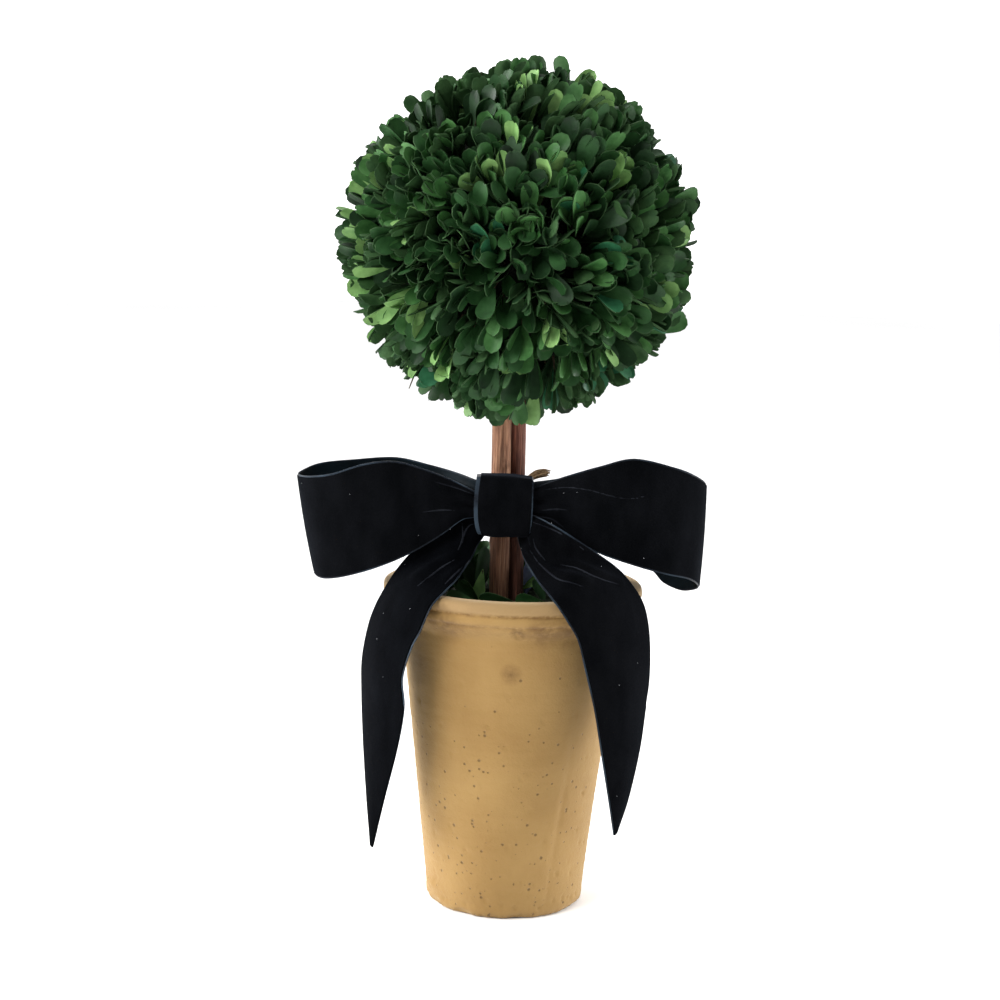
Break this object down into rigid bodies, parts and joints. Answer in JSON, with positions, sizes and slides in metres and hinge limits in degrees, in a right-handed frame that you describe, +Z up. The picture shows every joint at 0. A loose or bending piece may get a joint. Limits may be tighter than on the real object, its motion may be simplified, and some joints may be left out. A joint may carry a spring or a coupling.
{
  "type": "potted boxwood ball topiary with ribbon bow",
  "caption": "Clipped ball of boxwood leaves on a stem of two sticks, standing in a tapered clay pot, with a velvet ribbon bow tied to the stem.",
  "frame": {"origin": "middle of the pot's flat underside", "axes": "+Z up, -Y towards the front with the bow, +X to the right seen from the front"},
  "size_m": [0.1604, 0.1414, 0.3329],
  "materials": {
    "clay": "unglazed buff clay, matte, with small pits",
    "filler": "dry foam, matte",
    "bark": "bare twig wood with vertical grain, matte",
    "leaves": "preserved leaves, satin",
    "velvet": "cotton velvet ribbon with a smooth selvedge",
    "twine": "rough jute twine"
  },
  "bodies": {
    "root": {"pot": "clay", "pot_filler": "filler", "trunk_left": "bark", "trunk_right": "bark", "foliage_ball": "leaves", "mouth_foliage": "leaves", "bow_knot": "velvet", "bow_loop_left": "velvet", "bow_loop_right": "velvet", "bow_tail_left": "velvet", "bow_tail_right": "velvet", "twine_tie": "twine"}
  },
  "joints": []
}
